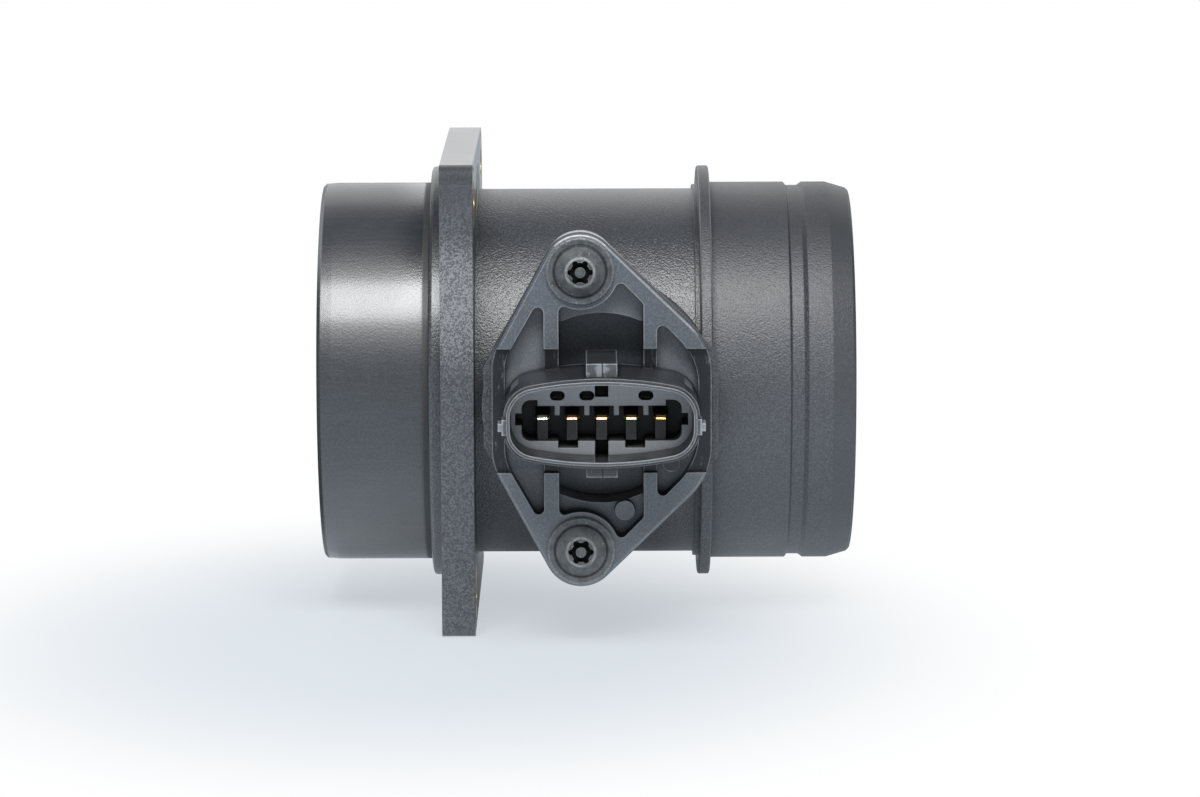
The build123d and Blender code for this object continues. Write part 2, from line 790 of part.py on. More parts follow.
def all_pieces():
    """Every piece by its node name."""
    pieces = {
        "tube_housing": tube_housing(),
        "flow_grid": flow_grid(),
        "wire_screen": wire_screen(),
        "clamp_ring": clamp_ring(),
        "sensor_body": sensor_body(),
        "seal_ring": seal_ring(),
        "carrier_plate": carrier_plate(),
        "circuit_board": circuit_board(),
        "measuring_cell": measuring_cell(),
        "electronics_cover": lid(chamber_top_reach, chamber_bottom_reach, lid_clearance),
        "bypass_cover": lid(channel_top_reach, channel_bottom_reach, lid_clearance),
        "security_screw_upper": security_screw(1),
        "security_screw_lower": security_screw(-1),
    }
    for number, (y, z) in enumerate(bolt_places(), start=1):
        pieces[f"flange_bush_{number}"] = flange_bush(y, z)
    for number, step in enumerate(terminal_places(), start=1):
        pieces[f"terminal_{number}"] = terminal(step)
    return pieces


os.makedirs("parts", exist_ok=True)
for name, piece in all_pieces().items():
    piece.label = name
    export_step(piece, f"parts/{name}.step")
    print(name, len(piece.solids()), round(piece.volume, 1))
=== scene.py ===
"""Mass airflow sensor: finishes, fine parts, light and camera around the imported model."""

import logging
import math
from dataclasses import dataclass, field
from enum import Enum
from typing import Any, Sequence, Union

import bpy
from mathutils import Matrix, Vector


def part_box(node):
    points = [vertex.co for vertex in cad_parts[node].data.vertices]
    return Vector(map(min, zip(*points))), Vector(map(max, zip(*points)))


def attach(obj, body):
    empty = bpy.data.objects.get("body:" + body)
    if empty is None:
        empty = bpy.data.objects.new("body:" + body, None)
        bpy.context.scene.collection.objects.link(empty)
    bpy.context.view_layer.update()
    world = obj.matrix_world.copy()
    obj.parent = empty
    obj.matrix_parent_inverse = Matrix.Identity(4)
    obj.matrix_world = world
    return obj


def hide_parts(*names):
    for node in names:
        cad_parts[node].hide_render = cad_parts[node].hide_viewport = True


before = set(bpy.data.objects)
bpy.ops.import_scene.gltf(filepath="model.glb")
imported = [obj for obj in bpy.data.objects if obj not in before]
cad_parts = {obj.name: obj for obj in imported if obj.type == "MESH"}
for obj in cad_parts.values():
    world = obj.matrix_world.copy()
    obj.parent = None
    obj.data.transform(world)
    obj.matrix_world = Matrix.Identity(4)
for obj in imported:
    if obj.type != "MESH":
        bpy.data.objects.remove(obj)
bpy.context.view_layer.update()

MM = 0.001
LOG = logging.getLogger("airflow_sensor")

Colour = tuple[float, float, float]
Value = Union["Wire", float]
# Start and end of a ramp, or a middle and the distance on either side of it, or two strengths.
Span = tuple[float, float]


class Ray(Enum):
    """Kinds of ray that the light path node tells apart."""

    CAMERA = "Is Camera Ray"
    GLOSSY = "Is Glossy Ray"


@dataclass(frozen=True)
class Noise:
    """Cloud noise: the width of its patches in millimetres, its octaves, how strong the finer
    octaves are, and a scale of the place by axis."""

    size: float
    detail: float = 2.0
    roughness: float = 0.5
    stretch: tuple[float, float, float] = (1.0, 1.0, 1.0)


class Wire:
    """A node's output socket that takes part in arithmetic."""

    def __init__(self, shader: "Shader", socket: bpy.types.NodeSocket) -> None:
        """Keep the socket and the shader that it belongs to."""
        self.shader = shader
        self.socket = socket

    def _math(self, operation: str, *values: Value) -> "Wire":
        """Add one Math node.

        Args:
            operation: the Math node's operation.
            values: its inputs in order, wires or numbers.

        Returns:
            The wire of the result.
        """
        inputs = dict(enumerate(values))
        return self.shader.node("ShaderNodeMath", {"operation": operation}, inputs)[0]

    def __add__(self, other: Value) -> "Wire":
        """Sum of two values."""
        return self._math("ADD", self, other)

    def __radd__(self, other: float) -> "Wire":
        """Sum with a number on the left."""
        return self._math("ADD", other, self)

    def __sub__(self, other: Value) -> "Wire":
        """Difference of two values."""
        return self._math("SUBTRACT", self, other)

    def __rsub__(self, other: float) -> "Wire":
        """A number less this value."""
        return self._math("SUBTRACT", other, self)

    def __mul__(self, other: Value) -> "Wire":
        """Product of two values, or of a colour and a value."""
        if self.socket.type == "RGBA":
            settings = {"operation": "SCALE"}
            return self.shader.node("ShaderNodeVectorMath", settings, {0: self, "Scale": other})[0]
        return self._math("MULTIPLY", self, other)

    def __rmul__(self, other: float) -> "Wire":
        """Product with a number on the left."""
        return self._math("MULTIPLY", other, self)

    def above(self, limit: float) -> "Wire":
        """One where this value is greater than the limit, else nought."""
        return self._math("GREATER_THAN", self, limit)

    def below(self, limit: float) -> "Wire":
        """One where this value is less than the limit, else nought."""
        return self._math("LESS_THAN", self, limit)

    def over(self, limit: float) -> "Wire":
        """One beyond a place in millimetres, else nought."""
        return self.above(limit * MM)

    def short_of(self, limit: float) -> "Wire":
        """One before a place in millimetres, else nought."""
        return self.below(limit * MM)

    def near(self, middle: float, half: float) -> "Wire":
        """One within half of the middle, both in millimetres, else nought."""
        return (self - middle * MM).magnitude().short_of(half)

    def rise(self, low: float, high: float) -> "Wire":
        """Smooth rise from nought to one between two places in millimetres."""
        return self.ramp(low * MM, high * MM)

    def magnitude(self) -> "Wire":
        """This value without its sign."""
        return self._math("ABSOLUTE", self)

    def root(self) -> "Wire":
        """Square root of this value."""
        return self._math("SQRT", self)

    def least(self, other: Value) -> "Wire":
        """The lesser of two values."""
        return self._math("MINIMUM", self, other)

    def most(self, other: Value) -> "Wire":
        """The greater of two values."""
        return self._math("MAXIMUM", self, other)

    def ramp(self, low: float, high: float) -> "Wire":
        """Rise smoothly from nought to one while this value goes from low to high.

        Args:
            low: the value at which the rise starts.
            high: the value at which it ends.

        Returns:
            The wire of the result.
        """
        settings = {"interpolation_type": "SMOOTHSTEP"}
        inputs = {"Value": self, "From Min": low, "From Max": high, "To Min": 0.0, "To Max": 1.0}
        return self.shader.node("ShaderNodeMapRange", settings, inputs)["Result"]


class Outputs:
    """The outputs of one node, by name or by place."""

    def __init__(self, shader: "Shader", made: bpy.types.Node) -> None:
        """Keep the node that was made."""
        self.shader = shader
        self.made = made

    def __getitem__(self, key: str | int) -> Wire:
        """The wire of one output."""
        return Wire(self.shader, self.made.outputs[key])


class Shader:
    """Builder for one node material on a Principled surface."""

    SAMPLES = 6
    EDGE_MATCH = (0.995, 0.86)

    def __init__(self, name: str) -> None:
        """Start an empty node tree.

        Args:
            name: the material's name.
        """
        self.material = bpy.data.materials.new(name)
        self.material.use_nodes = True
        self.tree = self.material.node_tree
        self.tree.nodes.clear()
        self.surface = self.node("ShaderNodeBsdfPrincipled").made
        self.output = self.node("ShaderNodeOutputMaterial").made
        self.tree.links.new(self.surface.outputs["BSDF"], self.output.inputs["Surface"])
        self.places = self.node("ShaderNodeTexCoord")["Object"]

    def node(self, kind: str, settings: dict[str, Any] | None = None,
             inputs: dict[str | int, Any] | None = None) -> Outputs:
        """Add a node of any type.

        Args:
            kind: the node's type.
            settings: attributes that are set first.
            inputs: socket values or wires by name or place.

        Returns:
            The node's outputs.
        """
        made = self.tree.nodes.new(kind)
        for key, value in (settings or {}).items():
            setattr(made, key, value)
        for key, value in (inputs or {}).items():
            self._give(made.inputs[key], value)
        return Outputs(self, made)

    def _give(self, socket: bpy.types.NodeSocket, value: Any) -> None:
        """Link a wire to an input, or set it to a number, a vector or an opaque colour.

        Args:
            socket: the input.
            value: what it gets.
        """
        if isinstance(value, Wire):
            self.tree.links.new(value.socket, socket)
        else:
            socket.default_value = (*value, 1.0) if socket.type == "RGBA" else value

    def axes(self) -> tuple[Wire, Wire, Wire]:
        """The place on the object, in metres, as X, Y and Z."""
        parts = self.node("ShaderNodeSeparateXYZ", inputs={"Vector": self.places})
        return parts["X"], parts["Y"], parts["Z"]

    def stretched(self, scale: tuple[float, float, float]) -> Wire:
        """The place on the object, scaled by axis."""
        settings = {"operation": "MULTIPLY"}
        return self.node("ShaderNodeVectorMath", settings, {0: self.places, 1: scale})[0]

    def noise(self, kind: Noise) -> Wire:
        """Cloud noise about one half.

        Args:
            kind: its size, octaves and stretch.

        Returns:
            The noise's value.
        """
        inputs = {"Vector": self.stretched(kind.stretch), "Scale": 1.0 / (kind.size * MM),
                  "Detail": kind.detail, "Roughness": kind.roughness}
        return self.node("ShaderNodeTexNoise", inputs=inputs)["Fac"]

    def mix(self, factor: Value, first: Wire | Colour, second: Wire | Colour) -> Wire:
        """Blend two colours.

        Args:
            factor: nought for the first, one for the second.
            first: a colour or its wire.
            second: a colour or its wire.

        Returns:
            The wire of the blend.
        """
        return self.node("ShaderNodeMix", {"data_type": "RGBA"}, {0: factor, 6: first, 7: second})[2]

    def bump(self, height: Wire, depth: float, under: Wire | None = None) -> Wire:
        """Turn a height from nought to one into a normal.

        Args:
            height: the height.
            depth: its depth in millimetres.
            under: the normal of a coarser bump below it.

        Returns:
            The wire of the normal.
        """
        inputs: dict[str | int, Any] = {"Height": height, "Distance": depth * MM, "Strength": 1.0}
        if under is not None:
            inputs["Normal"] = under
        return self.node("ShaderNodeBump", inputs=inputs)["Normal"]

    def rounded(self, radius: float) -> Wire:
        """Normal that rounds the edges by a radius in millimetres."""
        return self.node("ShaderNodeBevel", {"samples": self.SAMPLES}, {"Radius": radius * MM})["Normal"]

    def edges(self, radius: float) -> Wire:
        """Mask of the convex and concave edges within a radius in millimetres."""
        round_normal = self.rounded(radius)
        true_normal = self.node("ShaderNodeNewGeometry")["Normal"]
        settings = {"operation": "DOT_PRODUCT"}
        match = self.node("ShaderNodeVectorMath", settings, {0: round_normal, 1: true_normal})["Value"]
        return match.ramp(*self.EDGE_MATCH)

    def crevices(self, distance: float) -> Wire:
        """Mask of the corners and gaps that are narrower than a distance in millimetres."""
        settings = {"samples": self.SAMPLES, "only_local": True}
        return 1.0 - self.node("ShaderNodeAmbientOcclusion", settings, {"Distance": distance * MM})["AO"]

    def feed(self, **inputs: Any) -> None:
        """Set the surface's inputs; underscores in the names stand for spaces."""
        for key, value in inputs.items():
            self._give(self.surface.inputs[key.replace("_", " ")], value)


class TubeZones:
    """Masks of the tube's areas, and the places that they are made from."""

    def __init__(self, shader: Shader, sizes: "TubePlastic") -> None:
        """Mark the areas.

        Args:
            shader: the material's builder.
            sizes: the finish, which holds the areas' places.
        """
        self.x, y, self.z = shader.axes()
        radius = (y * y + self.z * self.z).root()
        self.outside = radius.over(sizes.bore)
        self.spigot = self.x.short_of(sizes.spigot_end) * self.outside
        # Strip of the spigot next to the disc, where painted shade goes.
        self.joint = self.x.rise(*sizes.joint) * self.x.short_of(sizes.spigot_end)
        self.lead = self.x.rise(*sizes.lead) * self.outside
        self.disc = self.x.near(*sizes.disc) * self.outside
        self.corner = (self.z - y).rise(*sizes.corner)
        self.front = (0.0 - y).over(sizes.front_start) * self.x.short_of(sizes.front_end)
        # Band of the flange's front face where a highlight is painted.
        self.bloom = self.front * self.z.rise(*sizes.bloom_top) * self.z.rise(*sizes.bloom_low)
        self.flat_top = self.z.magnitude().over(sizes.flat_top)
        self.flat = self.flat_top.most(self.x.near(*sizes.side) * radius.over(sizes.side_radius))
        self.hose = self.x.over(sizes.hose_start)
        self.chamfer = self.x.over(sizes.chamfer_start) * self.outside
        self.ring = self.x.near(*sizes.ring) * radius.over(sizes.ring_radius)
        # Edge lines of the ring, on its upper part only: a painted highlight.
        middle, half = sizes.ring
        lines = (self.x - middle * MM).magnitude().near(half - sizes.ring_line, sizes.ring_line)
        self.ring_edges = self.ring * lines * self.z.rise(*sizes.ring_line_rise)


@dataclass(frozen=True)
class TubePlastic:
    """Black glass-filled plastic of the tube: glossy inlet spigot, grained everywhere else."""

    colour: Colour = (0.014, 0.018, 0.024)
    worn: Colour = (0.15, 0.16, 0.18)
    # Colour of painted light: the flange's lighter top and the sunlit patch on its front face.
    sunlit: Colour = (0.5, 0.48, 0.52)
    bore: float = 37.5
    spigot_end: float = -2.8
    joint: Span = (-4.7, -3.7)
    lead: Span = (-24.7, -25.1)
    # Heights above and below which the lead-in gets a painted highlight.
    lead_top: Span = (16.0, 30.0)
    lead_low: Span = (-22.0, -36.0)
    disc: Span = (-1.4, 1.38)
    corner: Span = (92.4, 93.4)
    front_start: float = 48.0
    front_end: float = 6.9
    bloom_top: Span = (36.0, 24.0)
    bloom_low: Span = (3.0, 21.0)
    flat_top: float = 48.2
    side: Span = (6.8, 0.05)
    side_radius: float = 44.0
    hose_start: float = 55.4
    chamfer_start: float = 80.5
    ring: Span = (54.4, 1.25)
    ring_radius: float = 40.5
    ring_line: float = 0.13
    # Heights over which the ring's painted highlight fades in.
    ring_line_rise: Span = (16.0, 24.0)
    cloud: Noise = Noise(14.0, 3.0, 0.55)
    grain: Noise = Noise(0.4, 1.3, 0.55)
    sand: Noise = Noise(0.38, 2.0, 0.7)
    peel: Noise = Noise(0.5)
    brush: Noise = Noise(1.0, 3.0, 0.65, (0.14, 1.6, 1.6))
    rub: Noise = Noise(1.1, 3.0, 0.7)
    grain_depth: float = 0.145
    peel_depth: float = 0.024
    peel_brush: float = 0.35
    rounding: float = 0.3
    less_grain: tuple[float, ...] = (0.72, 0.25, 0.6, 0.4)
    edge_size: float = 0.35
    edge_wear: Span = (0.16, 0.42)
    rub_span: Span = (0.35, 0.65)
    cloud_span: Span = (0.35, 0.7)
    cloud_gain: float = 1.35
    cloud_share: float = 0.5
    sand_span: Span = (0.42, 0.62)
    # Fewer pale specks towards the top, except on the front face: painted shade on the upper side.
    sand_top: Span = (19.0, 32.0)
    sand_front: Span = (46.0, 34.0)
    sand_top_loss: float = 0.65
    sand_share: tuple[float, float, float] = (0.42, 0.3, 0.08)
    pale_most: float = 1.4
    # Heights below which the hose is paler: painted floor reflection.
    pale_hose_rise: Span = (16.0, 6.0)
    # The bloom's paleness is a painted highlight; the whole front face is paler too.
    pale_patch: Span = (0.3, 0.08)
    sunny_bloom: Span = (0.05, 0.3)
    # Heights below which the spigot is paler: painted floor reflection.
    low_rise: Span = (-12.0, -26.0)
    brush_span: Span = (0.42, 0.75)
    # Painted shade: the colour is dimmed in crevices, across the lead-in's middle and where the spigot meets the disc.
    crevice_size: float = 2.5
    crevice_shade: float = 0.6
    lead_shade: float = 0.8
    joint_share: float = 0.75
    joint_shade: float = 0.85
    rough_dull: float = 0.85
    rough_grained: float = 0.41
    rough_hose: float = 0.11
    hose_end: Span = (66.0, 80.0)
    rough_cloud: float = 0.1
    rough_glossy: float = 0.42
    sleek: float = 0.14
    sleek_along: Span = (-12.0, -3.0)
    sleek_rise: Span = (14.0, 26.0)
    ring_painted_highlight: float = 0.75
    hose_painted_reflection: float = 0.1
    sunny_top: float = 0.1
    spigot_painted_reflection: float = 0.16
    brush_share: float = 0.08
    lead_painted_highlight: float = 0.8
    rough_hose_end: float = 0.05
    rough_ring: float = 0.1
    rough_brush: float = 0.04
    coat_disc: float = 0.8
    coat_least: float = 0.2
    coat_rise: Span = (40.0, 28.0)
    coat_gap: float = 4.0
    coat_gap_rise: Span = (3.0, 14.0)
    coat_cloud: Span = (0.7, 0.8)

    def build(self) -> bpy.types.Material:
        """Make the material."""
        shader = Shader("tube_plastic")
        zones = TubeZones(shader, self)
        cloud, brushed = shader.noise(self.cloud), shader.noise(self.brush)
        spigot_loss, hose_loss, chamfer_loss, disc_loss = self.less_grain
        grained = (1.0 - spigot_loss * zones.spigot) * zones.outside * (1.0 - hose_loss * zones.hose)
        grained = grained * (1.0 - chamfer_loss * zones.chamfer) * (1.0 - disc_loss * zones.disc) * (1.0 - zones.flat)
        # Painted shade in crevices, on the lead-in's middle and at the spigot's joint; the lead-in's top and bottom get
        # a painted highlight (gleam).
        shaded = self.joint_share * zones.joint * zones.outside
        gleam = zones.lead * zones.z.rise(*self.lead_top).most(zones.z.rise(*self.lead_low))
        painted_shade = (self.crevice_shade * shader.crevices(self.crevice_size)).most(
            self.lead_shade * zones.lead * (1.0 - gleam)).most(self.joint_shade * shaded)
        dull = zones.lead.most(zones.corner).most(shaded) * self.rough_dull
        uneven = self.rough_cloud * (cloud - 0.5)
        rough = self.rough_grained + self.rough_hose * zones.hose
        rough = rough + self.rough_hose_end * zones.x.rise(*self.hose_end) + self.rough_ring * zones.ring + uneven
        sleek = self.sleek * zones.x.rise(*self.sleek_along) * zones.z.rise(*self.sleek_rise)
        glossy = self.rough_glossy + self.rough_brush * brushed + uneven - sleek
        smooth = zones.spigot.most(1.0 - zones.outside).most(zones.flat)
        even, swing = self.coat_cloud
        coat = zones.spigot.most(self.coat_disc * zones.disc)
        coat = coat * (self.coat_least + (1.0 - self.coat_least) * zones.z.rise(*self.coat_rise))
        coat = coat * (zones.z + self.coat_gap * MM).magnitude().rise(*self.coat_gap_rise)
        peel = shader.noise(self.peel) + self.peel_brush * brushed
        peel_normal = shader.bump(peel, self.peel_depth, shader.rounded(self.rounding))
        shader.feed(
            Base_Color=self._paint(shader, zones, cloud, brushed, grained, gleam) * (1.0 - painted_shade),
            Roughness=(rough + smooth * (glossy - rough)).most(dull),
            Coat_Weight=coat * (even + swing * (cloud - 0.5)) * (1.0 - zones.lead.most(shaded)),
            Coat_Roughness=0.2,
            Coat_IOR=1.5,
            Normal=shader.bump(shader.noise(self.grain) * grained, self.grain_depth, peel_normal),
            IOR=1.86,
        )
        return shader.material

    def _paint(self, shader: Shader, zones: TubeZones, cloud: Wire, brushed: Wire, grained: Wire,
               gleam: Wire) -> Wire:
        """Colour of the plastic with its pale grain, draw marks and worn edges, and painted light: a sunlit patch on
        the flange's front face, a lighter flange top, paler lower sides of the spigot and hose as painted floor
        reflection, fewer pale specks on the upper side as painted shade, and painted highlights on the lead-in and on
        the ring's upper edges.

        Args:
            shader: the material's builder.
            zones: the masks of the tube's areas.
            cloud: broad noise.
            brushed: noise drawn out along the tube.
            grained: mask of the grain.
            gleam: mask of the lead-in's painted highlight.

        Returns:
            The wire of the colour.
        """
        sand = shader.noise(self.sand).ramp(*self.sand_span)
        everywhere, on_disc, on_front = self.sand_share
        spared = zones.front * zones.z.rise(*self.sand_front)
        # Fewer pale specks on the upper side: painted shade; the bloom adds specks to its painted highlight.
        top_loss = self.sand_top_loss * zones.z.rise(*self.sand_top) * (1.0 - spared)
        specks = grained * (1.0 - top_loss) * sand
        specks = specks * (everywhere + on_disc * zones.disc + on_front * zones.front + zones.bloom)
        pale_bloom, pale_front = self.pale_patch
        # Lower side of the hose paler: painted floor reflection.
        hose_painted_reflection = zones.hose * zones.z.rise(*self.pale_hose_rise) * self.hose_painted_reflection
        pale = (specks + hose_painted_reflection + pale_bloom * zones.bloom + pale_front * zones.front).least(self.pale_most)
        lighter = tuple(self.cloud_gain * part for part in self.colour)
        tone = shader.mix(cloud.ramp(*self.cloud_span) * self.cloud_share, self.colour, lighter)
        # Painted light: the flange's top lighter, and the sunlit patch on its front face.
        even, sandy = self.sunny_bloom
        sunny = self.sunny_top * zones.flat_top + zones.bloom * (even + sandy * sand)
        grain_and_painted_light = shader.mix(sunny, shader.mix(pale, tone, self.worn), self.sunlit)
        # Draw marks along the spigot, with painted light: its lower side paler as floor reflection, and the lead-in's
        # painted highlight.
        draw_marks_and_painted_light = zones.spigot * zones.z.rise(*self.low_rise) * self.spigot_painted_reflection
        draw_marks_and_painted_light = draw_marks_and_painted_light + zones.spigot * brushed.ramp(*self.brush_span) * self.brush_share + gleam * self.lead_painted_highlight
        least, more = self.edge_wear
        wear = shader.edges(self.edge_size) * (least + more * shader.noise(self.rub).ramp(*self.rub_span))
        # The ring's upper edge lines: painted highlight.
        wear = wear.most(self.ring_painted_highlight * zones.ring_edges)
        return shader.mix(wear, shader.mix(draw_marks_and_painted_light, grain_and_painted_light, self.worn), self.worn)


class SensorZones:
    """Masks of the sensor's areas, and the places that they are made from."""

    def __init__(self, shader: Shader, sizes: "SensorPlastic") -> None:
        """Mark the areas.

        Args:
            shader: the material's builder.
            sizes: the finish, which holds the areas' places.
        """
        self.x, y, self.z = shader.axes()
        self.reach = reach = 0.0 - y
        aside, height = (self.x - sizes.centre * MM).magnitude(), self.z.magnitude()
        ledge_reach, ledge_half = sizes.ledge
        belt = height.short_of(sizes.band_half)
        band = belt * reach.short_of(sizes.band_front) * reach.over(sizes.band_back)
        self.socket = reach.over(sizes.socket_start) * belt
        self.inside = aside.short_of(sizes.window_half_width) * height.short_of(sizes.window_half_height)
        self.deep = self.inside * reach.short_of(ledge_reach - ledge_half) * reach.over(sizes.socket_start)
        self.rests = self.inside * reach.near(*sizes.pin_rest)
        self.ledge = reach.near(ledge_reach, ledge_half) * self.inside.most(self.z.below(0.0))
        self.rim = reach.over(sizes.rim) * belt
        rail = aside.short_of(sizes.rail_half_width) * height.over(sizes.rail_height)
        self.rail = rail * reach.over(sizes.rail_front)
        self.nib = aside.over(sizes.nib_start) * reach.over(ledge_reach)
        self.ejector = reach.near(*sizes.ejector) * self.z.below(0.0) * self.x.over(sizes.centre)
        self.pocket = reach.near(*sizes.pocket)
        walls = reach.rise(*sizes.walls_top) * reach.over(sizes.walls_end) * (1.0 - self.ejector)
        near_floor = reach.near(sizes.pocket[0], sizes.pocket_clear)
        self.walls = walls * (1.0 - self.socket) * (1.0 - band) * (1.0 - near_floor)
        self.smooth = band.most(self.socket * (1.0 - self.ledge))


@dataclass(frozen=True)
class SensorPlastic:
    """Black plastic of the plug-in sensor: finely grained flange, smooth lowered band and shroud."""

    colour: Colour = (0.06, 0.074, 0.092)
    smooth_colour: Colour = (0.013, 0.015, 0.018)
    deep_colour: Colour = (0.1, 0.102, 0.106)
    worn: Colour = (0.34, 0.36, 0.385)
    # Colour of the painted highlight on the flange's rounded upper edge.
    glint: Colour = (0.75, 0.77, 0.8)
    centre: float = 32.7
    flange_front: float = 58.3
    walls_top: Span = (58.3, 58.0)
    walls_end: float = 52.8
    band_half: float = 12.6
    band_front: float = 57.5
    band_back: float = 54.4
    socket_start: float = 57.4
    pocket: Span = (54.1, 0.06)
    pocket_clear: float = 0.9
    ejector: Span = (55.7, 0.06)
    ledge: Span = (66.5, 0.06)
    pin_rest: Span = (65.0, 0.05)
    rim: float = 75.1
    window_half_width: float = 18.2
    window_half_height: float = 6.6
    rail_half_width: float = 3.15
    rail_height: float = 9.2
    rail_front: float = 73.8
    rail_split: float = 32.85
    split_span: Span = (0.07, 0.16)
    nib_start: float = 19.5
    slope_lean: float = 1.033
    slope: Span = (67.83, 68.03)
    slope_low: Span = (13.0, 14.0)
    slope_high: float = 33.44
    arc_centre: Span = (28.5, 28.4)
    arc: Span = (6.95, 7.15)
    # Strengths of the painted highlight on the arc and on the slope.
    rubbed: Span = (0.8, 0.3)
    cloud: Noise = Noise(6.0, 3.0, 0.55)
    grain: Noise = Noise(0.36, 2.0, 0.55)
    scratches: Noise = Noise(0.9, 4.0, 0.7, (1.0, 1.0, 0.25))
    smudges: Noise = Noise(2.4, 2.0, 0.6)
    rub: Noise = Noise(1.4, 3.0, 0.75)
    dust: Noise = Noise(0.45, 2.0, 0.8)
    cloud_span: Span = (0.3, 0.7)
    cloud_share: float = 0.4
    cloud_gain: float = 1.25
    crevice_size: float = 1.2
    corner_size: float = 0.46
    open_span: Span = (0.3, 0.1)
    closed_span: Span = (0.14, 0.36)
    rub_span: Span = (0.36, 0.62)
    wear_rub: Span = (0.4, 0.3)
    # Heights over which the painted edge highlight fades in.
    edge_highlight_rise: Span = (12.0, 22.0)
    hair_span: Span = (0.6, 0.68)
    dust_span: Span = (0.7, 0.76)
    frost_span: Span = (0.46, 0.62)
    polish_rail: Span = (0.13, 0.45)
    smudge_span: Span = (0.46, 0.6)
    # Faces below the band are paler, more on the left: painted light from the floor.
    low_face_painted_light: Span = (0.07, 0.05)
    crevice_shade: float = 0.75
    seam_shade: float = 0.95
    walls_shade: float = 0.6
    glint_rub: Span = (0.6, 0.4)
    roughness: float = 0.42
    rough_seam: float = 0.4
    rough_walls: float = 0.7
    hair_share: float = 0.2
    dust_share: float = 0.35
    frost_share: float = 0.16
    polish_rim: float = 0.14
    polish_nib: float = 0.3
    pale_shroud: float = 0.05
    pale_ledge: float = 0.85
    pale_ejector: float = 0.12
    pale_pocket: float = 0.28
    wear_least: float = 0.55
    # Painted highlight on the shroud rim's edges and on edges above the middle.
    rim_edge_highlight: float = 0.3
    edge_highlight_top: float = 0.9
    rest_shade: float = 0.2
    rough_smooth: float = 0.1
    rough_scratch: float = 0.16
    rough_wear: float = 0.1
    rough_deep: float = 0.3
    grain_depth: float = 0.06
    grain_loss: float = 0.8
    rounding: float = 0.3

    def build(self) -> bpy.types.Material:
        """Make the material."""
        shader = Shader("sensor_plastic")
        zones = SensorZones(shader, self)
        grain, scratches = shader.noise(self.grain), shader.noise(self.scratches)
        rub = shader.noise(self.rub).ramp(*self.rub_span)
        crevice, corners = shader.crevices(self.crevice_size), shader.edges(self.corner_size)
        seam = corners * crevice.ramp(*self.closed_span)
        # Edge wear, with painted highlight added on the shroud's rim and on edges above the middle.
        everywhere, on_socket = self.wear_rub
        strength = self.wear_least + rub * (everywhere + on_socket * zones.socket) + self.rim_edge_highlight * zones.rim
        edge = corners * crevice.ramp(*self.open_span)
        wear = edge * (strength + self.edge_highlight_top * zones.z.rise(*self.edge_highlight_rise))
        marks = self._marks(shader, zones, wear, rub, grain, scratches)
        lighter = tuple(self.cloud_gain * part for part in self.colour)
        cloud = shader.noise(self.cloud).ramp(*self.cloud_span) * self.cloud_share
        base = shader.mix(zones.smooth, shader.mix(cloud, self.colour, lighter), self.smooth_colour)
        surface = shader.mix(marks, base, self.worn)
        body = shader.mix(zones.deep * (1.0 - self.rest_shade * zones.rests), surface, self.deep_colour)
        shade = (self.crevice_shade * crevice).most(self.seam_shade * seam).most(self.walls_shade * zones.walls)
        least, more = self.glint_rub
        rough = self.roughness - self.rough_smooth * zones.smooth + self.rough_scratch * (scratches - 0.5)
        rough = rough + self.rough_wear * wear + self.rough_deep * zones.deep
        # The flange's rounded upper edge gets a painted highlight, patchy with the rub noise.
        shader.feed(
            Base_Color=shader.mix(self._painted_rim_glint(zones) * (least + more * rub), body * (1.0 - shade), self.glint),
            Roughness=rough + self.rough_seam * seam.most(self.rough_walls * zones.walls),
            Coat_Weight=(1.0 - zones.smooth) * (1.0 - zones.deep) * (1.0 - seam.most(zones.walls)),
            Coat_Roughness=0.42,
            Coat_IOR=1.55,
            Normal=shader.bump(grain * (1.0 - self.grain_loss * zones.smooth), self.grain_depth,
                               shader.rounded(self.rounding)),
            IOR=1.46,
        )
        return shader.material

    def _marks(self, shader: Shader, zones: SensorZones, wear: Wire, rub: Wire, grain: Wire,
               scratches: Wire) -> Wire:
        """Wear with painted edge highlights, hairlines, dust, frost and pale areas together; the faces below the band
        are paler as painted light from the floor.

        Args:
            shader: the material's builder.
            zones: the masks of the sensor's areas.
            wear: mask of the worn edges, with painted highlights on the rim and on edges above the middle.
            rub: patches where the plastic is rubbed.
            grain: fine noise.
            scratches: noise drawn out along Z.

        Returns:
            The wire of the mask.
        """
        hairs = scratches.ramp(*self.hair_span) * zones.smooth * self.hair_share
        specks = shader.noise(self.dust).ramp(*self.dust_span) * zones.smooth * self.dust_share
        frosted = grain.ramp(*self.frost_span) * (1.0 - zones.smooth) * self.frost_share
        upper = zones.z.above(0.0)
        both_rails, upper_rail = self.polish_rail
        smudged = upper * upper_rail * shader.noise(self.smudges).ramp(*self.smudge_span)
        polish = zones.rim * self.polish_rim + zones.rail * (both_rails + smudged)
        polish = polish + zones.nib * self.polish_nib * (1.0 + rub)
        # Faces below the band are paler, more on the left: painted light from the floor.
        low, low_left = self.low_face_painted_light
        pale = zones.socket * (1.0 - zones.inside) * self.pale_shroud + self.pale_ledge * zones.ledge
        pale = pale + zones.z.short_of(-self.band_half) * (low + low_left * zones.x.short_of(self.centre))
        pale = pale + self.pale_ejector * zones.ejector * (1.0 - zones.socket) + self.pale_pocket * zones.pocket * upper
        split = (zones.x - self.rail_split * MM).magnitude().rise(*self.split_span)
        marks = (wear + hairs + specks + frosted + polish + pale).least(1.0)
        return marks * (1.0 - zones.rail * (1.0 - split))

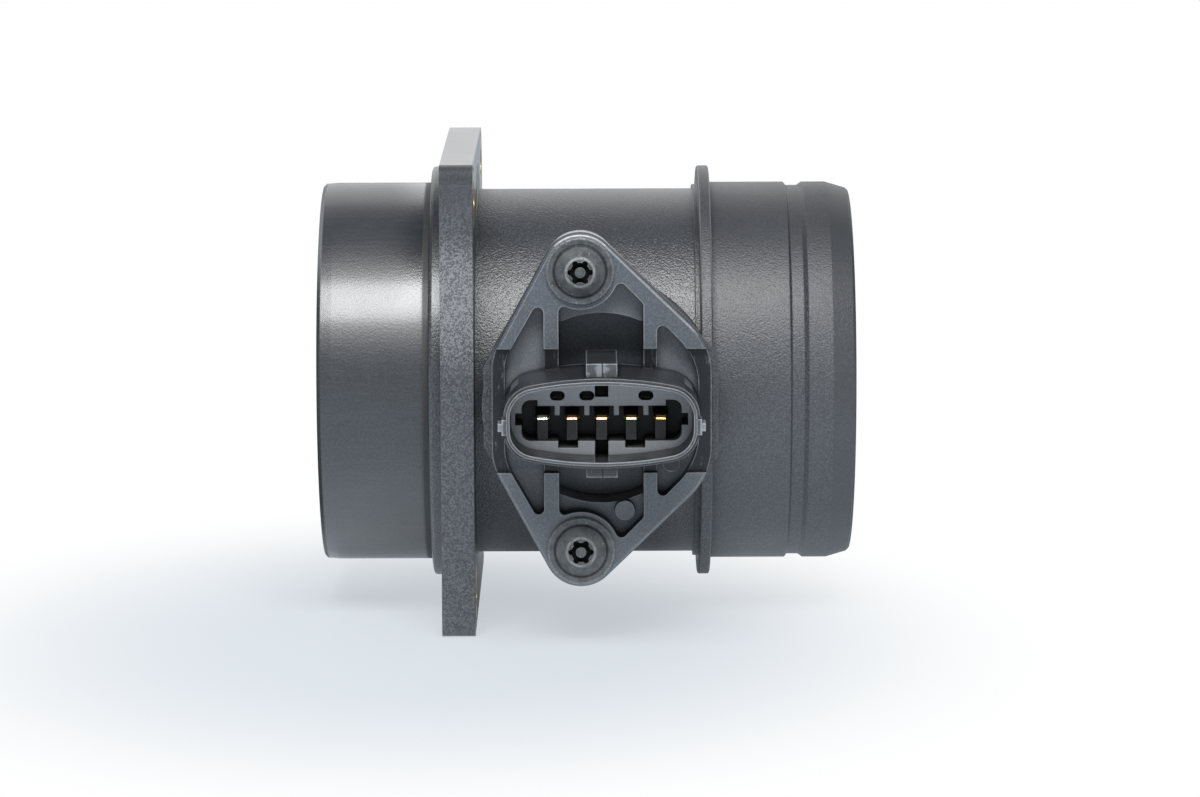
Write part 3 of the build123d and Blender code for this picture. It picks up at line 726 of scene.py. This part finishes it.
    def _painted_rim_glint(self, zones: SensorZones) -> Wire:
        """Mask of the painted highlight on the flange's rounded upper edge, from the screw's arc down the right slope.

        Args:
            zones: the masks of the sensor's areas.

        Returns:
            The wire of the mask.
        """
        centre_x, centre_z = self.arc_centre
        across, up = zones.x - centre_x * MM, zones.z - centre_z * MM
        arc = (across * across + up * up).root().rise(*self.arc) * zones.z.over(self.slope_high)
        slope = (zones.x + self.slope_lean * zones.z).rise(*self.slope)
        slope = slope * zones.z.short_of(self.slope_high) * zones.z.rise(*self.slope_low)
        on_arc, on_slope = self.rubbed
        return (on_arc * arc).most(on_slope * slope) * zones.reach.over(self.flange_front)


@dataclass(frozen=True)
class ScrewSteel:
    """Dark phosphated steel, rubbed bright on its edges; its drive recess is painted black and the crease round the
    dome is dimmed, as painted shade, and the lower screw is paler, as painted light.
    """

    colour: Colour = (0.125, 0.136, 0.143)
    worn: Colour = (0.55, 0.56, 0.55)
    # Painted shade: the colour that fills the drive recess.
    black: Colour = (0.008, 0.009, 0.009)
    upper: float = 28.4
    across: float = 28.5
    recess: float = 2.62
    recess_front: float = 60.9
    ring_inner: Span = (2.55, 2.7)
    ring_outer: Span = (3.3, 2.9)
    dome: float = 5.3
    dome_inner: float = 4.24
    groove: Span = (0.42, 0.1)
    brim: Span = (6.3, 6.65)
    blotches: Noise = Noise(1.6, 4.0, 0.65)
    pits: Noise = Noise(0.5, 3.0, 0.7)
    dust: Noise = Noise(0.7, 1.0, 0.5)
    pit_span: Span = (0.35, 0.6)
    blotch_span: Span = (0.35, 0.7)
    rub_span: Span = (0.3, 0.6)
    dust_span: Span = (0.74, 0.78)
    edge_size: float = 0.2
    blotch_gain: float = 0.55
    metallic: float = 0.45
    metallic_swing: float = 0.4
    roughness: float = 0.6
    rough_swing: float = 0.2
    wear_share: float = 0.7
    dust_share: float = 0.8
    lower_screw_painted_light: float = 0.07
    groove_shade: float = 0.8
    rough_dome: float = 0.1
    brim_wear: float = 0.7
    pit_depth: float = 0.03
    rounding: float = 0.12

    def build(self) -> bpy.types.Material:
        """Make the material."""
        shader = Shader("screw_steel")
        x, y, z = shader.axes()
        aside, above = x - self.across * MM, z.magnitude() - self.upper * MM
        away = (aside * aside + above * above).root()
        sunk = away.short_of(self.recess) * (0.0 - y).short_of(self.recess_front)
        ring = away.rise(*self.ring_inner) * away.rise(*self.ring_outer)
        groove = (away - self.dome * MM).magnitude().rise(*self.groove)
        blotches, pits = shader.noise(self.blotches), shader.noise(self.pits)
        wear = (shader.edges(self.edge_size) * pits.ramp(*self.pit_span)).most(ring * blotches.ramp(*self.rub_span))
        wear = wear.most(self.brim_wear * away.rise(*self.brim) * pits.ramp(*self.rub_span))
        specks = shader.noise(self.dust).ramp(*self.dust_span)
        darker = tuple(self.blotch_gain * part for part in self.colour)
        tone = shader.mix(blotches.ramp(*self.blotch_span), self.colour, darker)
        # The lower screw is paler: painted light.
        tone = shader.mix(z.below(0.0) * self.lower_screw_painted_light, tone, self.worn)
        bright = (wear * self.wear_share + specks * self.dust_share).least(1.0)
        rough = self.roughness + self.rough_dome * away.rise(self.dome, self.dome_inner)
        # The drive recess and the crease round the dome are blackened: painted shade.
        shader.feed(
            Base_Color=shader.mix(sunk.most(self.groove_shade * groove * (1.0 - wear)),
                                  shader.mix(bright, tone, self.worn), self.black),
            Metallic=self.metallic + self.metallic_swing * (wear - sunk),
            Roughness=rough + self.rough_swing * (blotches - 0.5 + sunk),
            Normal=shader.bump(pits, self.pit_depth, shader.rounded(self.rounding)),
        )
        return shader.material


@dataclass(frozen=True)
class SheetMetal:
    """Bright or plated metal with fine marks and a little tarnish."""

    name: str
    colour: Colour
    tarnish: Colour
    roughness: float
    marks: Noise = Noise(0.25, 3.0, 0.6, (1.0, 0.3, 1.0))
    patches: Noise = Noise(2.4, 3.0, 0.6)
    patch_span: Span = (0.45, 0.75)
    rough_swing: float = 0.18
    mark_depth: float = 0.004
    rounding: float = 0.06

    def build(self) -> bpy.types.Material:
        """Make the material."""
        shader = Shader(self.name)
        patches = shader.noise(self.patches)
        shader.feed(
            Base_Color=shader.mix(patches.ramp(*self.patch_span), self.colour, self.tarnish),
            Metallic=1.0,
            Roughness=self.roughness + self.rough_swing * (patches - 0.5),
            Normal=shader.bump(shader.noise(self.marks), self.mark_depth, shader.rounded(self.rounding)),
        )
        return shader.material


@dataclass(frozen=True)
class PlatedTip:
    """Plated terminal, bright on the lower edge of its tip and dull above, where the tarnish colour is painted over it
    as shade.
    """

    name: str
    colour: Colour
    # Tarnish colour of the marks, also painted over the tip's upper part as shade.
    dull: Colour
    upper: Span = (0.46, 0.54)
    ragged: float = 0.14
    marks: Noise = Noise(0.3, 3.0, 0.6)
    mark_span: Span = (0.5, 0.7)
    mark_share: float = 0.5
    upper_share: float = 0.9
    roughness: float = 0.25
    rough_upper: float = 0.2
    rough_swing: float = 0.1
    mark_depth: float = 0.02
    lean: float = 0.55

    def build(self) -> bpy.types.Material:
        """Make the material."""
        shader = Shader(self.name)
        _, _, z = shader.axes()
        marks = shader.noise(self.marks)
        upper = (z + marks * (self.ragged * MM)).rise(*self.upper)
        marked = shader.mix(marks.ramp(*self.mark_span) * self.mark_share, self.colour, self.dull)
        # The tip's upper part takes the tarnish colour: painted shade.
        shader.feed(
            Base_Color=shader.mix(upper * self.upper_share, marked, self.dull),
            Metallic=1.0,
            Roughness=self.roughness + self.rough_upper * upper + self.rough_swing * (marks - 0.5),
            Normal=shader.bump(marks, self.mark_depth, self._leaning(shader, upper)),
        )
        return shader.material

    def _leaning(self, shader: Shader, upper: Wire) -> Wire:
        """Lean the lower part of the tip up towards the lamp, as its worn edge does.

        Args:
            shader: the material's builder.
            upper: mask of the tip's dull upper part.

        Returns:
            The wire of the normal.
        """
        upright = shader.node("ShaderNodeCombineXYZ", inputs={"Z": (1.0 - upper) * self.lean})[0]
        true_normal = shader.node("ShaderNodeNewGeometry")["Normal"]
        total = shader.node("ShaderNodeVectorMath", {"operation": "ADD"}, {0: true_normal, 1: upright})[0]
        return shader.node("ShaderNodeVectorMath", {"operation": "NORMALIZE"}, {0: total})[0]


@dataclass(frozen=True)
class FinePlastic:
    """Small plain moulding or rubber with a fine grain."""

    name: str
    colour: Colour
    roughness: float
    grain_size: float = 0.3
    grain_depth: float = 0.008
    cloud: Noise = Noise(5.0, 3.0)
    cloud_span: Span = (0.35, 0.7)
    cloud_gain: float = 1.4
    rough_grain: float = 0.12
    rough_cloud: float = 0.1
    rounding: float = 0.15

    def build(self) -> bpy.types.Material:
        """Make the material."""
        shader = Shader(self.name)
        cloud, grain = shader.noise(self.cloud), shader.noise(Noise(self.grain_size, roughness=0.6))
        pale = tuple(self.cloud_gain * part for part in self.colour)
        shader.feed(
            Base_Color=shader.mix(cloud.ramp(*self.cloud_span), self.colour, pale),
            Roughness=self.roughness + self.rough_grain * (grain - 0.5) + self.rough_cloud * (cloud - 0.5),
            Normal=shader.bump(grain, self.grain_depth, shader.rounded(self.rounding)),
        )
        return shader.material


@dataclass(frozen=True)
class BoardCeramic:
    """White ceramic board with printed tracks."""

    colour: Colour = (0.62, 0.6, 0.55)
    track: Colour = (0.42, 0.4, 0.36)
    pitch: float = 1.6
    slant: float = 0.5
    track_edge: Span = (0.55, 0.7)
    breaks: Noise = Noise(4.0, 1.0)
    break_span: Span = (0.48, 0.52)
    grain: Noise = Noise(0.4, 3.0)
    roughness: float = 0.5
    rough_swing: float = 0.15
    relief: float = 0.01
    rounding: float = 0.1

    def build(self) -> bpy.types.Material:
        """Make the material."""
        shader = Shader("board_ceramic")
        x, y, _ = shader.axes()
        across = {0: x + y * self.slant, 1: self.pitch * MM}
        wave = shader.node("ShaderNodeMath", {"operation": "PINGPONG"}, across)[0]
        tracks = wave.rise(*self.track_edge) * shader.noise(self.breaks).ramp(*self.break_span)
        grain = shader.noise(self.grain)
        shader.feed(
            Base_Color=shader.mix(tracks, self.colour, self.track),
            Roughness=self.roughness + self.rough_swing * (grain - 0.5),
            Normal=shader.bump(grain + tracks, self.relief, shader.rounded(self.rounding)),
        )
        return shader.material


@dataclass
class Camera:
    """Camera at the photograph's viewing angle."""

    focus_px: float = 4918.0
    width_px: float = 1200.0
    distance: float = 1048.8
    target: tuple[float, float, float] = (32.62, 0.0, -6.19)
    pitch: float = 8.511
    yaw: float = 0.2
    roll: float = -0.1757
    sensor: float = 36.0
    nearest: float = 0.05
    farthest: float = 20.0

    def build(self) -> None:
        """Add the camera and look at the target."""
        pitch, yaw, roll = (math.radians(angle) for angle in (self.pitch, self.yaw, self.roll))
        ahead = Vector((math.sin(yaw) * math.cos(pitch), math.cos(yaw) * math.cos(pitch), -math.sin(pitch)))
        level = Vector((math.cos(yaw), -math.sin(yaw), 0.0))
        upright = level.cross(ahead)
        right = math.cos(roll) * level + math.sin(roll) * upright
        top = math.cos(roll) * upright - math.sin(roll) * level
        place = (Vector(self.target) - self.distance * ahead) * MM
        data = bpy.data.cameras.new("view")
        data.sensor_width = self.sensor
        data.sensor_fit = "HORIZONTAL"
        data.lens = self.focus_px / self.width_px * self.sensor
        data.clip_start = self.nearest
        data.clip_end = self.farthest
        camera = bpy.data.objects.new("view", data)
        turn = Matrix((right, top, -ahead)).transposed().to_4x4()
        camera.matrix_world = Matrix.Translation(place) @ turn
        bpy.context.scene.collection.objects.link(camera)
        bpy.context.scene.camera = camera


@dataclass(frozen=True)
class SoftLamp:
    """A rectangular lamp, given by its place, what it faces and how bright its face is."""

    name: str
    place: tuple[float, float, float]
    aim: tuple[float, float, float]
    size: tuple[float, float]
    brightness: float
    colour: Colour = (1.0, 1.0, 1.0)

    def build(self) -> None:
        """Add the lamp."""
        data = bpy.data.lights.new(self.name, "AREA")
        data.shape = "RECTANGLE"
        data.size, data.size_y = self.size
        data.energy = self.brightness * math.pi * self.size[0] * self.size[1]
        data.color = self.colour
        lamp = bpy.data.objects.new(self.name, data)
        lamp.location = self.place
        way = Vector(self.aim) - Vector(self.place)
        lamp.rotation_euler = way.to_track_quat("-Z", "Y").to_euler()
        lamp.visible_camera = False
        bpy.context.scene.collection.objects.link(lamp)


@dataclass
class Studio:
    """Pale floor, pale surroundings and soft lamps."""

    floor_z: float = -48.45
    floor_half: float = 3.0
    floor_colour: Colour = (0.7, 0.735, 0.775)
    # Tint of the painted shadow near the object.
    tint: Colour = (0.715, 0.765, 0.81)
    sheen: Colour = (0.82, 0.92, 1.0)
    # Reach of the painted shadow round the object, as the camera sees it.
    centre: tuple[float, float] = (0.0, -0.05)
    squeeze: float = 1.3
    shade_near: float = 0.05
    shade_far: float = 0.165
    glow_near: float = 0.73
    # Fixed patches under the object that glow less in reflections: painted shadow.
    hidden: tuple[float, float] = (8.0, 52.0)
    hidden_depth: float = 50.0
    hidden_blend: float = 8.0
    hidden_glow: float = 0.2
    under_across: Span = (46.0, 13.8)
    under_left: Span = (-50.0, -20.0)
    under_right: Span = (66.0, 50.0)
    under_glow: float = 0.4
    roughness: float = 0.8
    specular: float = 0.1
    sky: Colour = (0.95, 0.97, 1.0)
    surround: float = 0.34
    gloss_surround: float = 0.1
    lamps: Sequence[SoftLamp] = field(default_factory=lambda: (
        SoftLamp("key_lamp", (0.03, -0.727, 0.874), (0.03, -0.035, 0.019), (0.72, 0.48), 12.5),
        SoftLamp("back_lamp", (0.03, 1.6, 0.86), (0.03, 0.0, 0.1), (3.2, 1.5), 1.55),
    ))

    def build(self) -> None:
        """Add the floor, the world and the lamps."""
        self._floor()
        self._world()
        for lamp in self.lamps:
            lamp.build()

    def _floor(self) -> None:
        """Add the white floor; its soft shadow near the object is partly real and partly painted, as a weaker, tinted
        glow to the camera and as fixed dim patches under the object in reflections.
        """
        mesh = bpy.data.meshes.new("floor")
        half = self.floor_half
        corners = [(-half, -half, 0.0), (half, -half, 0.0), (half, half, 0.0), (-half, half, 0.0)]
        mesh.from_pydata([Vector(corner) for corner in corners], [], [(0, 1, 2, 3)])
        floor = bpy.data.objects.new("floor", mesh)
        floor.location.z = self.floor_z * MM
        bpy.context.scene.collection.objects.link(floor)
        shader = Shader("floor_white")
        x, y, _ = shader.axes()
        away_x, away_y = self.squeeze * (x - self.centre[0]), y - self.centre[1]
        away = (away_x * away_x + away_y * away_y).root()
        # To the camera the floor glows less, in a grey tint, near the object: painted shadow.
        open_floor = away.ramp(self.shade_near, self.shade_far)
        glow = self.glow_near + (1.0 - self.glow_near) * open_floor
        # In reflections, fixed patches under the object glow less: painted shadow.
        (low, high), blend, depth = self.hidden, self.hidden_blend, self.hidden_depth
        hidden = x.rise(low - blend, low + blend) * x.rise(high + blend, high - blend)
        hidden = hidden * y.magnitude().rise(depth + blend, depth - blend)
        under = y.magnitude().rise(*self.under_across) * x.rise(*self.under_left) * x.rise(*self.under_right)
        painted_shade = ((1.0 - self.hidden_glow) * hidden).most((1.0 - self.under_glow) * under)
        path = shader.node("ShaderNodeLightPath")
        mirrored = path[Ray.GLOSSY.value]
        seen = (path[Ray.CAMERA.value] * glow).most(mirrored * (1.0 - painted_shade))
        shader.feed(Base_Color=self.floor_colour, Roughness=self.roughness, Specular_IOR_Level=self.specular)
        white = shader.mix(open_floor, self.tint, (1.0, 1.0, 1.0))
        white = shader.mix(mirrored, white, self.sheen)
        emission = shader.node("ShaderNodeEmission", inputs={"Color": white, "Strength": 1.0})
        surface = Wire(shader, shader.surface.outputs["BSDF"])
        mixed = shader.node("ShaderNodeMixShader", inputs={0: seen, 1: surface, 2: emission[0]})
        shader.tree.links.new(mixed[0].socket, shader.output.inputs["Surface"])
        mesh.materials.append(shader.material)

    def _world(self) -> None:
        """White to the camera, softer as light and in reflections."""
        world = bpy.data.worlds.new("surround")
        world.use_nodes = True
        tree = world.node_tree
        tree.nodes.clear()
        path = tree.nodes.new("ShaderNodeLightPath")
        output = tree.nodes.new("ShaderNodeOutputWorld")
        layers = ((None, self.sky, self.surround), (Ray.GLOSSY, self.sky, self.gloss_surround),
                  (Ray.CAMERA, (1.0, 1.0, 1.0), 1.0))
        below = None
        for ray, colour, strength in layers:
            sky = tree.nodes.new("ShaderNodeBackground")
            sky.inputs["Color"].default_value = (*colour, 1.0)
            sky.inputs["Strength"].default_value = strength
            if below is None:
                below = sky.outputs["Background"]
                continue
            mixer = tree.nodes.new("ShaderNodeMixShader")
            tree.links.new(path.outputs[ray.value], mixer.inputs["Fac"])
            tree.links.new(below, mixer.inputs[1])
            tree.links.new(sky.outputs["Background"], mixer.inputs[2])
            below = mixer.outputs["Shader"]
        tree.links.new(below, output.inputs["Surface"])
        bpy.context.scene.world = world


class Mesher:
    """Collects the vertices and faces of one piece, in millimetres."""

    def __init__(self, name: str) -> None:
        """Start an empty mesh."""
        self.name = name
        self.points: list[tuple[float, float, float]] = []
        self.faces: list[tuple[int, ...]] = []

    def tube(self, path: Sequence[Vector], radius: float, sides: int) -> None:
        """Sweep a round wire along a path.

        Args:
            path: points of the wire's middle line.
            radius: the wire's radius.
            sides: number of sides of its section.
        """
        start = len(self.points)
        for number, point in enumerate(path):
            ahead = path[min(number + 1, len(path) - 1)] - path[max(number - 1, 0)]
            ahead.normalize()
            aside = ahead.cross(Vector((1.0, 0.0, 0.0))).normalized()
            upward = ahead.cross(aside).normalized()
            for side in range(sides):
                angle = math.tau * side / sides
                spot = point + radius * (math.cos(angle) * aside + math.sin(angle) * upward)
                self.points.append(tuple(spot))
        for number in range(len(path) - 1):
            for side in range(sides):
                here = start + number * sides + side
                beside = start + number * sides + (side + 1) % sides
                self.faces.append((here, beside, beside + sides, here + sides))
        self.faces.append(tuple(range(start + sides - 1, start - 1, -1)))
        last = start + (len(path) - 1) * sides
        self.faces.append(tuple(range(last, last + sides)))

    def turned(self, profile: Sequence[tuple[float, float]], steps: int = 128) -> None:
        """Turn a closed profile of X and radius about the tube's axis.

        Args:
            profile: points of X and radius, in order round the section.
            steps: number of steps round the axis.
        """
        start = len(self.points)
        count = len(profile)
        for step in range(steps):
            angle = math.tau * step / steps
            for x, radius in profile:
                self.points.append((x, radius * math.cos(angle), radius * math.sin(angle)))
        for step in range(steps):
            after = (step + 1) % steps
            for number in range(count):
                beside = (number + 1) % count
                self.faces.append((start + step * count + number, start + after * count + number,
                                   start + after * count + beside, start + step * count + beside))

    def build(self, material: bpy.types.Material) -> bpy.types.Object:
        """Make the object, shaded flat.

        Args:
            material: its material.

        Returns:
            The new object, in metres.
        """
        mesh = bpy.data.meshes.new(self.name)
        mesh.from_pydata([Vector(point) * MM for point in self.points], [], self.faces)
        mesh.materials.append(material)
        mesh.shade_flat()
        mesh.validate()
        piece = bpy.data.objects.new(self.name, mesh)
        bpy.context.scene.collection.objects.link(piece)
        return piece


@dataclass
class WovenScreen:
    """Woven wire screen in its pressed rim, in front of the honeycomb."""

    pitch: float = 1.7
    wire: float = 0.12
    wire_sides: int = 5
    swing: float = 0.9
    rim_width: float = 1.7
    rim_overlap: float = 0.4
    fewest_steps: int = 4

    def build(self, steel: bpy.types.Material) -> bpy.types.Object:
        """Weave the screen.

        Args:
            steel: the wire's material.

        Returns:
            The screen.
        """
        low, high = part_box("wire_screen")
        middle_x = (low.x + high.x) / 2 / MM
        half_x = (high.x - low.x) / 2 / MM
        outer = high.z / MM
        inner = outer - self.rim_width
        mesher = Mesher("woven_screen")
        count = int(inner // self.pitch)
        for number in range(-count, count + 1):
            offset = number * self.pitch
            reach = math.sqrt(inner * inner - offset * offset) + self.rim_overlap * self.rim_width
            steps = max(self.fewest_steps, 2 * int(2 * reach / self.pitch))
            for along_y in (True, False):
                path = []
                for step in range(steps + 1):
                    run = -reach + 2 * reach * step / steps
                    swing = math.cos(math.pi * (run / self.pitch + number)) * self.wire * self.swing
                    x = middle_x + (swing if along_y else -swing)
                    path.append(Vector((x, run, offset) if along_y else (x, offset, run)))
                mesher.tube(path, self.wire, self.wire_sides)
        front, back = middle_x - half_x, middle_x + half_x
        mesher.turned([(front, inner), (front, outer), (back, outer), (back, inner)])
        screen = mesher.build(steel)
        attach(screen, "root")
        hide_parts("wire_screen")
        return screen


@dataclass
class Tube:
    """The moulded tube with its flange bushes, honeycomb, screen and clamp ring."""

    bushes: int = 4

    def build(self) -> None:
        """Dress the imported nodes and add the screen."""
        dress("tube_housing", TubePlastic().build())
        dress("flow_grid", FinePlastic("grid_plastic", (0.045, 0.046, 0.05), 0.45).build())
        steel = SheetMetal("screen_steel", (0.62, 0.62, 0.6), (0.4, 0.4, 0.39), 0.3).build()
        dress("clamp_ring", SheetMetal("ring_steel", (0.5, 0.5, 0.49), (0.3, 0.29, 0.28), 0.35).build())
        brass = SheetMetal("bush_brass", (0.62, 0.45, 0.22), (0.34, 0.25, 0.13), 0.38).build()
        for number in range(1, self.bushes + 1):
            dress(f"flange_bush_{number}", brass)
        dress("wire_screen", steel)
        WovenScreen().build(steel)


@dataclass
class Sensor:
    """The plug-in sensor with its seal, inner parts, lids and terminals."""

    terminals: int = 5
    tinned: int = 1

    def build(self) -> None:
        """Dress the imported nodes."""
        dress("sensor_body", SensorPlastic().build())
        dress("seal_ring", FinePlastic("seal_rubber", (0.02, 0.02, 0.021), 0.6, 0.5).build())
        dress("carrier_plate", SheetMetal("carrier_metal", (0.6, 0.6, 0.58), (0.45, 0.44, 0.42), 0.35).build())
        dress("circuit_board", BoardCeramic().build())
        dress("measuring_cell", SheetMetal("cell_glass", (0.35, 0.4, 0.5), (0.2, 0.22, 0.3), 0.12).build())
        cover = FinePlastic("cover_plastic", (0.035, 0.036, 0.04), 0.42).build()
        for lid in ("electronics_cover", "bypass_cover"):
            dress(lid, cover)
        gold = PlatedTip("terminal_gold", (1.0, 0.56, 0.18), (0.06, 0.03, 0.014)).build()
        tin = PlatedTip("terminal_tin", (0.95, 0.9, 0.78), (0.09, 0.075, 0.055)).build()
        for number in range(1, self.terminals + 1):
            dress(f"terminal_{number}", tin if number == self.tinned else gold)


@dataclass
class Screws:
    """The two security screws."""

    names: Sequence[str] = ("security_screw_upper", "security_screw_lower")

    def build(self) -> None:
        """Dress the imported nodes."""
        steel = ScrewSteel().build()
        for name in self.names:
            dress(name, steel)


def dress(node: str, material: bpy.types.Material) -> None:
    """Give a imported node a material.

    Args:
        node: the node's name.
        material: its new material.
    """
    for holder in bpy.data.objects[node].material_slots:
        holder.material = material


def main() -> None:
    """Build the scene piece by piece."""
    logging.basicConfig(level=logging.INFO, format="%(message)s")
    bpy.context.scene.view_settings.view_transform = "Standard"
    for part in (Camera(), Studio(), Tube(), Sensor(), Screws()):
        part.build()
        LOG.info("built %s", type(part).__name__)


if __name__ == "__main__":
    main()
